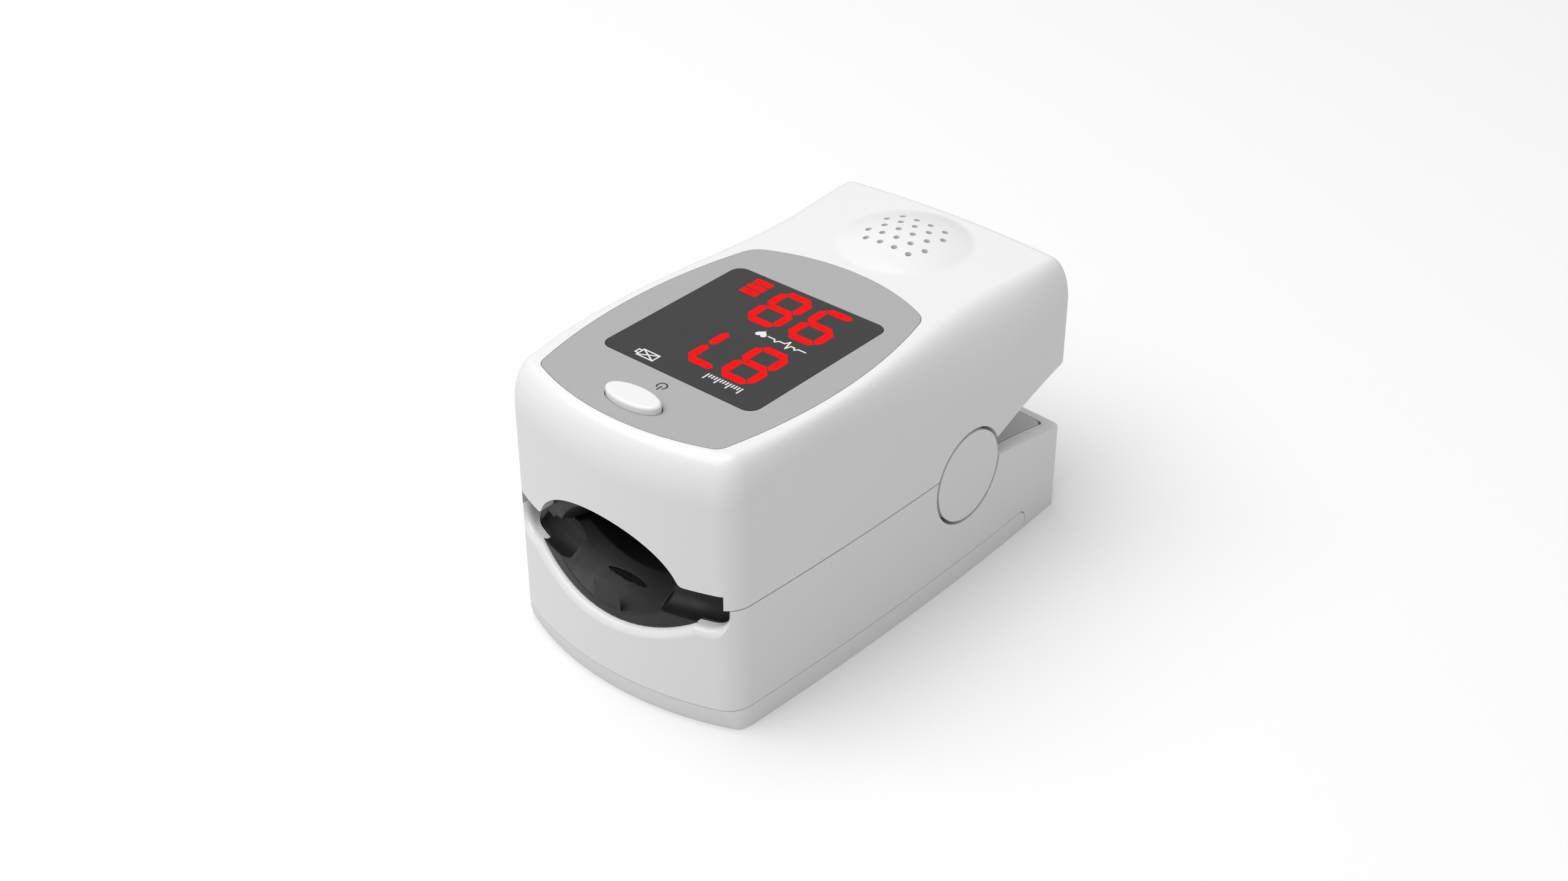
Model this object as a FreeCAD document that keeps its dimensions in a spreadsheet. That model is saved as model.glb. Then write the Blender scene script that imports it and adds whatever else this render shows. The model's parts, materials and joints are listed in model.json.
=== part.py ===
"""Fingertip pulse oximeter: two spring-closed jaws, a press button and a sliding battery cover.

Frame: millimetres, +Z up, the finger goes in from -Y, origin under the middle of the two jaws.
"""
import FreeCAD, Part
import math
import os

DIMENSIONS = (
    # outer shape, shared by both jaws
    ("front_y", -30.5, "front face on the centre line"),
    ("rear_y", 30.5, "rear face on the centre line"),
    ("half_width", 17.0, "half of the greatest width"),
    ("side_radius", 417.0, "plan radius of the bowed sides"),
    ("side_apex_y", 6.6, "where the sides are widest"),
    ("front_radius", 37.0, "plan radius of the bowed front"),
    ("rear_radius", 120.0, "plan radius of the bowed rear"),
    ("front_corner", 3.3, "plan radius of the front corners"),
    ("rear_corner", 1.8, "plan radius of the rear corners"),
    ("top_z", 33.07, "flat top of the upper jaw"),
    ("wall", 1.7, "shell wall"),
    ("parting_z", 15.6, "where the closed jaws meet"),
    ("parting_gap", 0.16, "gap between the closed jaws"),
    # rounding of the upper jaw: widths across, and how much taller they are
    ("round_tall", 2.2, "height of the rounding over its width"),
    ("round_front", 2.4, "rounding width along the front"),
    ("round_side", 2.0, "rounding width at the front of the sides"),
    ("round_shoulder", 2.3, "rounding width beside the display"),
    ("round_waist", 3.7, "rounding width beside the dome"),
    ("round_hip", 2.5, "rounding width at the rear of the sides"),
    ("round_rear", 1.0, "rounding width along the rear"),
    ("shoulder_y", -2.0, "where the side rounding starts to widen"),
    ("waist_y", 17.6, "where the side rounding is widest"),
    # hinge
    ("hinge_y", 10.1, "hinge axis"),
    ("hinge_z", 13.7, "hinge axis"),
    ("recess_radius", 5.86, "round recess for each hinge cap"),
    ("cap_radius", 5.46, "hinge cap"),
    ("pin_radius", 1.0, "hinge pin"),
    ("pin_fit", 0.05, "radial clearance of the pin"),
    ("knuckle_radius", 3.6, "hinge knuckles"),
    # squeeze gap behind the hinge
    ("ramp_radius", 84.0, "side curve of the lower jaw behind the hinge"),
    ("ramp_y", 4.8, "centre of that curve"),
    ("ramp_z", -69.8, "centre of that curve"),
    ("brow_radius", 65.0, "side curve of the upper jaw behind the hinge"),
    ("brow_y", 39.0, "centre of that curve"),
    ("brow_z", -44.4, "centre of that curve"),
    # finger opening
    ("arch_half", 10.2, "half width of the arch in the upper shell"),
    ("arch_rise", 7.0, "rise of the arch above the parting line"),
    ("sill_radius", 19.5, "curve of the opening in the lower shell"),
    ("sill_z", 9.35, "lowest point of the opening"),
    ("slot_half", 14.4, "half length of the slot for the pad rolls"),
    ("slot_low", 12.7, "lower edge of the slot"),
    ("slot_high", 17.4, "upper edge of the slot"),
    ("slot_corner", 2.0, "round lower corners of the slot"),
    ("lip_round", 0.85, "rounded lip of the lower opening"),
    ("notch_round", 0.8, "corners where the arch meets the slot"),
    ("roll_radius", 1.75, "rolls of the upper pad"),
    ("roll_z", 14.75, "height of the rolls"),
    ("roll_recess", 0.05, "rolls behind the front face"),
    # battery cover
    ("cover_z", 2.63, "top of the battery cover"),
    ("cover_rear_y", 22.3, "rear end of the battery cover"),
    ("cover_round", 1.3, "rounded rear end of the cover"),
    ("cover_gap", 0.08, "line round the cover"),
    ("cover_lean", 0.65, "how far the front leans in below the cover line"),
    ("rear_lean", 0.7, "how far the lower jaw leans in at the rear"),
    # faceplate, window, button
    ("plate_thick", 0.8, "faceplate and window"),
    ("plate_gap", 0.07, "line round the faceplate and the window"),
    ("plate_front_y", -28.05, "front of the faceplate"),
    ("plate_front_radius", 31.4, "front curve of the faceplate"),
    ("plate_rear_y", 10.3, "rear of the faceplate"),
    ("plate_rear_radius", 25.0, "rear curve of the faceplate"),
    ("plate_half", 14.45, "half of its greatest width"),
    ("plate_side_radius", 60.0, "side curve of the faceplate"),
    ("plate_side_y", -9.9, "where it is widest"),
    ("plate_front_corner", 1.75, "front corners of the faceplate"),
    ("plate_rear_corner", 3.0, "rear corners of the faceplate"),
    ("window_half", 10.49, "half width of the display window"),
    ("window_front_y", -18.6, "front of the window"),
    ("window_rear_y", 3.18, "rear of the window"),
    ("window_corner", 1.4, "corners of the window"),
    ("button_y", -24.5, "centre of the power button"),
    ("button_half", 3.6, "half width of the button"),
    ("button_deep", 1.65, "half depth of the button"),
    ("button_gap", 0.12, "gap round the button"),
    ("button_proud", 0.85, "button above the faceplate"),
    ("button_travel", 0.5, "press of the button"),
    # speaker dome
    ("dome_y", 19.5, "centre of the speaker dome"),
    ("dome_radius", 7.7, "base of the dome"),
    ("dome_rise", 1.4, "height of the dome"),
    ("dome_blend", 1.6, "blend at the foot of the dome"),
    ("hole_radius", 0.37, "speaker holes"),
    ("hole_pitch_x", 2.0, "holes across a row"),
    ("hole_pitch_y", 1.68, "rows of holes"),
    # inside
    ("board_z", 26.8, "underside of the main board"),
    ("board_thick", 1.0, "boards"),
    ("pad_low_z", 12.35, "underside of the lower pad"),
    ("pad_high_z", 22.4, "top of the upper pad"),
    ("pad_rear_y", 3.0, "rear end of the pads"),
    ("cell_radius", 5.1, "AAA cell"),
    ("cell_long", 44.0, "AAA cell without its tip"),
    ("cell_x", 5.45, "cells beside the centre line"),
    ("cell_z", 6.3, "axis of the cells"),
    ("cell_front_y", -24.6, "front end of the cells"),
    ("screw_radius", 1.0, "screw shanks"),
)

doc = FreeCAD.newDocument("pulse_oximeter")
sheet = doc.addObject("Spreadsheet::Sheet", "dims")
for row, (alias, value, note) in enumerate(DIMENSIONS, start=1):
    sheet.set("A%d" % row, alias)
    sheet.set("B%d" % row, str(value))
    sheet.set("C%d" % row, note)
    sheet.setAlias("B%d" % row, alias)
doc.recompute()

ALONG = {
    "x": FreeCAD.Rotation(FreeCAD.Vector(0, 1, 0), 90),
    "y": FreeCAD.Rotation(FreeCAD.Vector(1, 0, 0), -90),
    "z": FreeCAD.Rotation(),
    "z turned": FreeCAD.Rotation(FreeCAD.Vector(0, 0, 1), 180),
}
SIDES = (("left", -1), ("right", 1))
nodes = []


def size(alias):
    """The number in the sheet's cell with this alias."""
    return float(sheet.get(alias))


def sheet_text(text):
    """An expression in which each word that is a sheet alias reads that cell."""
    words = {row[0] for row in DIMENSIONS}
    result = ""
    word = ""
    for letter in text + " ":
        if letter.isalnum() or letter == "_":
            word += letter
            continue
        result += "dims." + word if word in words else word
        result += letter
        word = ""
    return result.strip()


def bind(item, **expressions):
    """Bind properties to expressions of sheet aliases."""
    for name, text in expressions.items():
        item.setExpression(name, sheet_text(str(text)))


def move(item, x=0, y=0, z=0):
    """Bind an object's place to expressions of sheet aliases."""
    for axis, text in (("x", x), ("y", y), ("z", z)):
        item.setExpression("Placement.Base." + axis, sheet_text(str(text)))


def box(name, x, y, z):
    """A box between pairs of expressions."""
    item = doc.addObject("Part::Box", name)
    bind(item, Length="(%s) - (%s)" % (x[1], x[0]), Width="(%s) - (%s)" % (y[1], y[0]),
         Height="(%s) - (%s)" % (z[1], z[0]))
    move(item, x[0], y[0], z[0])
    return item


def cylinder(name, radius, length, x=0, y=0, z=0, along="z"):
    """A cylinder that starts at x, y, z. Its seam faces +X, or -X along "z turned"."""
    item = doc.addObject("Part::Cylinder", name)
    bind(item, Radius=radius, Height=length)
    item.Placement = FreeCAD.Placement(FreeCAD.Vector(), ALONG[along])
    move(item, x, y, z)
    return item


def cone(name, low_radius, high_radius, length, x=0, y=0, z=0, along="z"):
    """A cone or frustum that starts at x, y, z."""
    item = doc.addObject("Part::Cone", name)
    bind(item, Radius1=low_radius, Radius2=high_radius, Height=length)
    item.Placement = FreeCAD.Placement(FreeCAD.Vector(), ALONG[along])
    move(item, x, y, z)
    return item


def sphere(name, radius, x=0, y=0, z=0):
    """A sphere round x, y, z."""
    item = doc.addObject("Part::Sphere", name)
    bind(item, Radius=radius)
    move(item, x, y, z)
    return item


def fuse(name, *items):
    """The union of the items."""
    item = doc.addObject("Part::MultiFuse", name)
    item.Shapes = list(items)
    return item


def common(name, *items):
    """What the items share."""
    item = doc.addObject("Part::MultiCommon", name)
    item.Shapes = list(items)
    return item


def cut(name, base, *tools):
    """The base without the tools."""
    item = doc.addObject("Part::Cut", name)
    item.Base = base
    item.Tool = tools[0] if len(tools) == 1 else fuse(name + "_tools", *tools)
    return item


def fillet(name, base, radii):
    """Round the edges for which radii(edge) gives the radius at the edge's two ends."""
    doc.recompute()
    item = doc.addObject("Part::Fillet", name)
    item.Base = base
    edges = []
    for index, edge in enumerate(base.Shape.Edges, start=1):
        ends = radii(edge)
        if ends:
            edges.append((index, ends[0], ends[1]))
    item.Edges = edges
    return item


def node(name, item):
    """Name a finished sub-part."""
    item.Label = name
    nodes.append(item)
    return item


def runs_along(edge, axis):
    """Whether a straight edge runs along x, y or z."""
    ends = [vertex.Point for vertex in edge.Vertexes]
    if len(ends) < 2 or edge.Curve.TypeId != "Part::GeomLine":
        return False
    step = ends[1] - ends[0]
    return abs(abs(getattr(step, axis)) - step.Length) < 1e-6


def upright(edge):
    """Whether an edge runs along Z."""
    return runs_along(edge, "z")


def plan_block(name, inset, low, high, front_corner, rear_corner):
    """The jaws' plan shape, drawn in by inset, between two heights."""
    tall = "(%s) - (%s)" % (high, low)
    arcs = []
    for side, sign in SIDES:
        arcs.append(cylinder("%s_%s" % (name, side), "side_radius - (%s)" % inset, tall,
                             "%d * (half_width - side_radius)" % sign, "side_apex_y", low,
                             along="z turned" if sign > 0 else "z"))
    arcs.append(cylinder(name + "_front", "front_radius - (%s)" % inset, tall, 0,
                         "front_y + front_radius", low))
    arcs.append(cylinder(name + "_rear", "rear_radius - (%s)" % inset, tall, 0,
                         "rear_y - rear_radius", low))
    block = common(name + "_block", *arcs)

    def corner(edge):
        if not upright(edge):
            return None
        radius = front_corner if edge.BoundBox.YMin < 0 else rear_corner
        return radius, radius

    return fillet(name, block, corner)


def upper_envelope():
    """The upper jaw's outside: a prism whose top edge is rounded, wider and softer at the waist.

    The rounding is taller than it is wide, so the prism is rounded while it is flattened and
    then stretched back to its height.
    """
    tall = size("round_tall")
    low = size("parting_z") + size("parting_gap") / 2
    plan = plan_block("upper_plan", "0", "parting_z + parting_gap / 2", "top_z",
                      size("front_corner"), size("rear_corner"))
    doc.recompute()
    outline = []
    bow = size("side_radius")
    waist, shoulder = size("waist_y"), size("shoulder_y")
    rims = []
    for y in (waist, shoulder):
        drop = bow - math.sqrt(bow ** 2 - (y - size("side_apex_y")) ** 2)
        rims.append((size("half_width") - drop, y))
    for edge in plan.Shape.Edges:
        if edge.CenterOfMass.z > low + 1e-3:
            continue
        stops = [vertex.Point for vertex in edge.Vertexes]
        if abs(edge.CenterOfMass.y) < size("half_width"):
            side = 1 if edge.CenterOfMass.x > 0 else -1
            rising = stops[0].y < stops[1].y
            splits = [FreeCAD.Vector(side * x, y, low) for x, y in rims]
            stops[1:1] = reversed(splits) if rising else splits
        for start, end in zip(stops, stops[1:]):
            middle = (edge.Curve.parameter(start) + edge.Curve.parameter(end)) / 2
            outline.append(Part.Arc(start, edge.Curve.value(middle), end).toShape())
    face = Part.Face(Part.Wire(Part.__sortEdges__(outline)))
    flat = face.extrude(FreeCAD.Vector(0, 0, (size("top_z") - low) / tall))
    blank = doc.addObject("Part::Feature", "upper_blank")
    blank.Shape = flat
    top = low + (size("top_z") - low) / tall
    front = size("front_y") + size("front_corner")

    def width(point):
        """The rounding's width at a point of the top edge."""
        if point.y > size("rear_y") - size("rear_corner") / 2:
            return size("round_rear")
        if point.y > waist + 1:
            return size("round_hip")
        if point.y > waist - 1:
            return size("round_waist")
        if point.y > shoulder - 1:
            return size("round_shoulder")
        return size("round_side") if point.y > front else size("round_front")

    def radii(edge):
        if edge.CenterOfMass.z < top - 1e-3:
            return None
        return tuple(width(vertex.Point) for vertex in edge.Vertexes)

    rounded = fillet("upper_rounded", blank, radii)
    doc.recompute()
    stretch = FreeCAD.Matrix()
    stretch.A33 = tall
    stretch.A34 = low * (1 - tall)
    item = doc.addObject("Part::Feature", "upper_envelope")
    item.Shape = rounded.Shape.transformGeometry(stretch)
    return item


def lens(name, grow, low, high, front_corner, rear_corner):
    """The faceplate's plan shape, grown by grow, between two heights."""
    tall = "(%s) - (%s)" % (high, low)
    arcs = []
    for side, sign in SIDES:
        arcs.append(cylinder("%s_%s" % (name, side), "plate_side_radius + %s" % grow, tall,
                             "%d * (plate_half - plate_side_radius)" % sign, "plate_side_y", low,
                             along="z turned" if sign > 0 else "z"))
    arcs.append(cylinder(name + "_front", "plate_front_radius + %s" % grow, tall, 0,
                         "plate_front_y + plate_front_radius", low))
    arcs.append(cylinder(name + "_rear", "plate_rear_radius + %s" % grow, tall, 0,
                         "plate_rear_y - plate_rear_radius", low))
    block = common(name + "_block", *arcs)

    def corner(edge):
        if not upright(edge):
            return None
        radius = front_corner if edge.BoundBox.YMin < size("plate_side_y") else rear_corner
        return radius, radius

    return fillet(name, block, corner)


def window_block(name, grow, low, high):
    """The window's plan shape, grown by grow, between two heights."""
    block = box(name + "_box", ("-window_half - %s" % grow, "window_half + %s" % grow),
                ("window_front_y - %s" % grow, "window_rear_y + %s" % grow), (low, high))
    corner = size("window_corner")
    return fillet(name, block, lambda edge: (corner, corner) if upright(edge) else None)


def oval(name, half_x, half_y, low, high):
    """An upright oval prism at the power button."""
    outline = doc.addObject("Part::Ellipse", name + "_outline")
    bind(outline, MajorRadius=half_x, MinorRadius=half_y)
    move(outline, 0, "button_y", low)
    item = doc.addObject("Part::Extrusion", name)
    item.Base = outline
    item.DirMode = "Custom"
    item.Dir = FreeCAD.Vector(0, 0, 1)
    item.Solid = True
    bind(item, LengthFwd="(%s) - (%s)" % (high, low))
    return item


def arch_prism(name, half_x, half_z, front, rear):
    """A lying oval prism round the parting line, for the arch above the finger."""
    outline = doc.addObject("Part::Ellipse", name + "_outline")
    bind(outline, MajorRadius=half_x, MinorRadius=half_z)
    outline.Placement = FreeCAD.Placement(FreeCAD.Vector(), ALONG["y"])
    move(outline, 0, front, "parting_z")
    item = doc.addObject("Part::Extrusion", name)
    item.Base = outline
    item.DirMode = "Custom"
    item.Dir = FreeCAD.Vector(0, 1, 0)
    item.Solid = True
    bind(item, LengthFwd="(%s) - (%s)" % (rear, front))
    return item


def slot_prism(name, rear):
    """The slot for the pad rolls, cut through the front: its lower corners are round."""
    front = "front_y - 1"
    straight = "(slot_half - slot_corner)"
    round_z = "slot_low + slot_corner"
    pieces = [box(name + "_bar", ("-" + straight, straight), (front, rear), ("slot_low", "slot_high")),
              box(name + "_upper", ("-slot_half", "slot_half"), (front, rear), (round_z, "slot_high"))]
    for side, sign in SIDES:
        pieces.append(cylinder("%s_%s" % (name, side), "slot_corner", "%s - (%s)" % (rear, front),
                               "%d * %s" % (sign, straight), front, round_z, along="y"))
    return fuse(name, *pieces)


def hinge_disc(name, radius, x_from, x_to):
    """A disc round the hinge axis."""
    return cylinder(name, radius, "(%s) - (%s)" % (x_to, x_from), x_from, "hinge_y", "hinge_z",
                    along="x")


def mirrored_pair(name, build):
    """A left and a right item: build gets a name and x positions that grow outward."""
    return [build("%s_%s" % (name, side), sign) for side, sign in SIDES]


def outward(sign, near, far):
    """The pair of x expressions from near to far on one side."""
    if sign > 0:
        return near, far
    return "-(%s)" % far, "-(%s)" % near


def above_ramp(name, drop=0):
    """Everything above the lower jaw's curve behind the hinge."""
    block = box(name + "_box", ("-20", "20"), ("hinge_y + 3", "rear_y + 2"), ("2", "20"))
    curve = cylinder(name + "_curve", "ramp_radius - %s" % drop, "44", "-22", "ramp_y", "ramp_z",
                     along="x")
    return cut(name, block, curve)


def below_brow(name, lift=0):
    """The round form below the upper jaw's curve behind the hinge."""
    return cylinder(name, "brow_radius + %s" % lift, "44", "-22", "brow_y", "brow_z", along="x")


def dome_holes():
    """The speaker's staggered holes."""
    holes = []
    for row in range(-2, 3):
        across = (-1.5, -0.5, 0.5, 1.5) if row % 2 == 0 else (-2, -1, 0, 1, 2)
        for place in across:
            holes.append(cylinder("dome_hole", "hole_radius", "8", "%s * hole_pitch_x" % place,
                                  "dome_y + %d * hole_pitch_y" % row, "top_z - 3"))
    return holes


def upper_shell():
    """The upper jaw's outer shell, with its dome, arch, faceplate bed and hinge ears."""
    ball = "(dome_radius ^ 2 + dome_rise ^ 2) / (2 * dome_rise)"
    dome = common("dome",
                  sphere("dome_ball", ball, 0, "dome_y", "top_z + dome_rise - %s" % ball),
                  cylinder("dome_bed", "dome_radius + 2", "dome_rise + 2", 0, "dome_y", "top_z - 1"))
    skin = fuse("upper_skin", upper_envelope(), dome)
    foot = size("dome_blend")
    top = size("top_z")

    def dome_foot(edge):
        bounds = edge.BoundBox
        if abs(bounds.ZMin - top) > 1e-3 or bounds.ZLength > 1e-3:
            return None
        middle = FreeCAD.Vector(0, size("dome_y"), top)
        reach = (edge.Vertexes[0].Point - middle).Length
        return (foot, foot) if abs(reach - size("dome_radius")) < 1e-2 else None

    skin = fillet("upper_skin_blended", skin, dome_foot)
    cavity = plan_block("upper_cavity", "wall", "parting_z - 1", "top_z - wall", 1.8, 1.2)
    roof = size("top_z") - size("wall")

    def cavity_roof(edge):
        return (1.4, 1.4) if edge.BoundBox.ZMin > roof - 1e-3 else None

    cavity = fillet("upper_cavity_soft", cavity, cavity_roof)
    recesses = mirrored_pair("upper_recess", lambda name, sign: hinge_disc(
        name, "recess_radius", *outward(sign, "half_width - wall - 0.6", "half_width + 2")))
    shell = cut("upper_shell_walls", skin, cavity, below_brow("upper_brow"),
                arch_prism("upper_arch", "arch_half", "arch_rise", "front_y - 1", "front_y + 6"),
                slot_prism("upper_slot", "front_y + 8"),
                lens("plate_bed", "plate_gap", "top_z - plate_thick", "top_z + 1",
                     size("plate_front_corner"), size("plate_rear_corner")),
                window_block("display_opening", "-0.6", "top_z - 3", "top_z + 1"),
                oval("button_well", "button_half + 0.9", "button_deep + 0.9", "top_z - 3", "top_z + 1"),
                cylinder("speaker_seat", "5.2", "1", 0, "dome_y", "top_z - wall - 0.1"),
                *(recesses + dome_holes()))
    notch = size("notch_round")

    def notch_edges(edge):
        bounds = edge.BoundBox
        along_y = abs(bounds.DiagonalLength - bounds.YLength) < 1e-6
        near = abs(abs(bounds.XMin) - size("arch_half")) < 1.0 and bounds.YMax < size("front_y") + 4
        return (notch, notch) if along_y and near and bounds.ZMin > size("slot_high") - 0.05 else None

    shell = fillet("upper_shell_notched", shell, notch_edges)
    ears = []
    for side, sign in SIDES:
        ears.append(hinge_disc("upper_ear_" + side, "knuckle_radius",
                               *outward(sign, "half_width - 5.6", "half_width - 4.1")))
        ears.append(box("upper_ear_arm_" + side, outward(sign, "half_width - 5.6", "half_width - 4.1"),
                        ("hinge_y - 3", "hinge_y + 3"), ("hinge_z", "hinge_z + 9.5")))
        ears.append(box("upper_ear_root_" + side, outward(sign, "half_width - 5.6", "half_width - 1.5"),
                        ("hinge_y - 3", "hinge_y + 3"), ("hinge_z + 6.6", "hinge_z + 9.5")))
    bosses = screw_bosses("upper_boss", "24.3", "top_z - wall + 0.3")
    shell = fuse("upper_shell_eared", shell, *(ears + bosses))
    bores = [hinge_disc("upper_ear_bore", "pin_radius + pin_fit", "-half_width + 3", "half_width - 3")]
    bores += screw_bores("upper_boss_bore", "24", "30.5")
    return node("upper_shell", cut("upper_shell", shell, *bores))


SCREW_PLACES = ((-12.6, -22.0), (12.6, -22.0), (-8.5, 4.8), (8.5, 4.8))


def screw_bosses(name, low, high):
    """Posts for the four screws."""
    return [cylinder(name, "screw_radius + 0.9", "(%s) - (%s)" % (high, low), x, y, low)
            for x, y in SCREW_PLACES]


def screw_bores(name, low, high, radius="screw_radius"):
    """Bores for the four screws."""
    return [cylinder(name, radius, "(%s) - (%s)" % (high, low), x, y, low) for x, y in SCREW_PLACES]


def faceplate():
    """The flush grey plate round the display and the button."""
    plate = lens("plate", "0", "top_z - plate_thick + 0.02", "top_z",
                 size("plate_front_corner"), size("plate_rear_corner"))
    return node("faceplate", cut(
        "faceplate", plate,
        window_block("plate_opening", "plate_gap", "top_z - 2", "top_z + 1"),
        oval("plate_button_hole", "button_half + button_gap", "button_deep + button_gap",
             "top_z - 2", "top_z + 1")))


def display_window():
    """The dark flush window."""
    window = window_block("window", "0", "top_z - plate_thick + 0.02", "top_z")
    return node("display_window", window)


def display_module():
    """The segment display under the window."""
    body = box("display_body", ("-window_half + 1.2", "window_half - 1.2"),
               ("window_front_y + 1.2", "window_rear_y - 1.2"),
               ("board_z + board_thick", "top_z - plate_thick - 0.3"))
    return node("display_module", body)


SEGMENTS = {"8": "abcdefg", "7": "abc", "9": "abcdfg"}
DIGITS = (("8", 4.7, -11.52), ("7", 0.1, -11.52), ("9", 4.9, -1.25), ("8", -0.75, -1.25))


def display_segments():
    """The lit segments of the two numbers and the signal bars, on top of the display module.

    Both numbers are read from the hinge end, so their tops point to -Y and they run to -X.
    """
    wide, tall, thick, stroke = 4.55, 7.43, 0.12, 1.03
    low = "top_z - plate_thick - 0.28"
    high = "%s + %s" % (low, thick)
    bars = []
    for digit, middle_x, middle_y in DIGITS:
        side, end = (wide - stroke) / 2, (tall - stroke) / 2
        spots = {"a": (0, -end), "g": (0, 0), "d": (0, end), "f": (side, -end / 2),
                 "b": (-side, -end / 2), "e": (side, end / 2), "c": (-side, end / 2)}
        for letter in SEGMENTS[digit]:
            x, y = spots[letter]
            lying = letter in "agd"
            reach_x = (side - stroke / 2) - 0.05 if lying else stroke / 2
            reach_y = stroke / 2 if lying else (end - stroke) / 2 - 0.05
            bars.append(box("segment", (middle_x + x - reach_x, middle_x + x + reach_x),
                            (middle_y + y - reach_y, middle_y + y + reach_y), (low, high)))
    for place in range(3):
        bars.append(box("signal_bar", ("-7.0", "-4.62"), (-0.9 + 1.19 * place, 0.04 + 1.19 * place), (low, high)))
    compound = doc.addObject("Part::Compound", "display_segments")
    compound.Links = bars
    return node("display_segments", compound)


def power_button():
    """The oval press button, with a stem that ends just above its switch."""
    cap = oval("button_cap", "button_half", "button_deep", "top_z - plate_thick - 0.6",
               "top_z + button_proud")
    crown = size("top_z") + size("button_proud")
    cap = fillet("button_rounded", cap,
                 lambda edge: (0.35, 0.35) if edge.BoundBox.ZMin > crown - 1e-3 else None)
    flange = oval("button_flange", "button_half + 0.5", "button_deep + 0.5",
                  "top_z - plate_thick - 0.7", "top_z - plate_thick - 0.05")
    stem = cylinder("button_stem", "0.9", "1.2", 0, "button_y", "board_z + board_thick + 2.9")
    return node("power_button", fuse("power_button", cap, flange, stem))


def group(name, *items):
    """Separate solids that share a node."""
    item = doc.addObject("Part::Compound", name)
    item.Links = list(items)
    return node(name, item)


PIN_PLACES = [(-8 + 2 * place, y) for place in range(9) for y in ("window_front_y + 2", "window_rear_y - 2")]


def electronics():
    """The main board and what is soldered to it."""
    board = box("board_blank", ("-12.8", "12.8"), ("front_y + 4.9", "14"),
                ("board_z", "board_z + board_thick"))
    holes = screw_bores("board_hole", "board_z - 1", "board_z + 2", "screw_radius + 1.1")
    holes += [cylinder("pin_hole", "0.27", "3", x, y, "board_z - 1") for x, y in PIN_PLACES]
    node("main_pcb", cut("main_pcb", board, *holes))
    node("processor_chip", box("processor_chip", ("-3.5", "3.5"), ("-14", "-7"), ("board_z - 1.4", "board_z")))
    chips = []
    for place in range(6):
        chips.append(box("capacitor", (-8.5 + 3.2 * place, -7.3 + 3.2 * place), ("-2.5", "-0.5"),
                         ("board_z - 0.9", "board_z")))
    group("pcb_capacitors", *chips)
    body = box("switch_body", ("-2.6", "2.6"), ("button_y - 1.9", "button_y + 1.9"),
               ("board_z + board_thick", "board_z + board_thick + 1.4"))
    plunger = cylinder("switch_plunger", "1", "0.9", 0, "button_y", "board_z + board_thick + 1.4")
    node("button_switch", fuse("button_switch", body, plunger))
    group("display_pins", *[cylinder("display_pin", "0.25", "1.6", x, y, "board_z - 0.6")
                            for x, y in PIN_PLACES])


def speaker():
    """The small speaker under the dome, and its ring."""
    can = cylinder("speaker_can", "4.6", "2.2", 0, "dome_y", "top_z - wall - 2.4")
    cap = cylinder("speaker_cap", "3", "0.5", 0, "dome_y", "top_z - wall - 2.9")
    node("speaker", fuse("speaker", can, cap))
    ring = cut("speaker_gasket", cylinder("gasket_outer", "5.6", "1.2", 0, "dome_y", "top_z - wall - 1.25"),
               cylinder("gasket_inner", "4.62", "3", 0, "dome_y", "top_z - wall - 2"))
    node("speaker_gasket", ring)


def upper_inner_cover():
    """The plate behind the upper pad, which turns down and follows the squeeze gap."""
    inset = "wall + 0.15"
    slab = common("upper_slab",
                  plan_block("upper_slab_plan", inset, "22.9", "24.3", 1.6, 0.9),
                  fuse("upper_slab_reach", box("upper_slab_front", ("-20", "20"), ("-40", "hinge_y - 4.2"),
                                               ("20", "26")),
                       box("upper_slab_bridge", ("-10.8", "10.8"), ("-40", "hinge_y + 6.4"), ("20", "26"))))
    skirt = box("upper_skirt", ("-13.6", "13.6"), ("hinge_y + 5.2", "hinge_y + 6.4"), ("17", "24.3"))
    tail = common("upper_tail", plan_block("upper_tail_plan", inset, "15", "25", 1.6, 0.9),
                  cut("upper_tail_curve", below_brow("upper_tail_outer", "1.35"),
                      below_brow("upper_tail_inner", "0.12")),
                  box("upper_tail_reach", ("-20", "20"), ("hinge_y + 5.2", "40"), ("10", "30")))
    cover = fuse("upper_inner_cover_blank", slab, skirt, tail)
    seats = screw_bores("upper_screw_bore", "22", "25", "screw_radius + 0.1")
    seats += screw_bores("upper_screw_seat", "22", "23.9", "screw_radius + 0.8")
    return node("upper_inner_cover", cut("upper_inner_cover", cover, *seats))


def pad_ring(name, grow, x_near, x_far, with_ends):
    """The two rolls of the upper pad, which run beside the front face."""
    ring_radius = "front_radius - roll_recess - roll_radius"
    rolls = []
    for side, sign in SIDES:
        torus = doc.addObject("Part::Torus", "%s_torus_%s" % (name, side))
        bind(torus, Radius1=ring_radius, Radius2="roll_radius + %s" % grow)
        move(torus, 0, "front_y + front_radius", "roll_z")
        window = box("%s_window_%s" % (name, side), outward(sign, x_near, x_far),
                     ("front_y - 2", "front_y + 9"), ("slot_low - 2", "slot_high + 2"))
        rolls.append(common("%s_roll_%s" % (name, side), torus, window))
        if with_ends:
            for end in (x_near, x_far):
                rolls.append(sphere("%s_end_%s" % (name, side), "roll_radius", "%d * (%s)" % (sign, end),
                                    "front_y + front_radius - sqrt((%s) ^ 2 - (%s) ^ 2)" % (ring_radius, end),
                                    "roll_z"))
    return rolls


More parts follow.
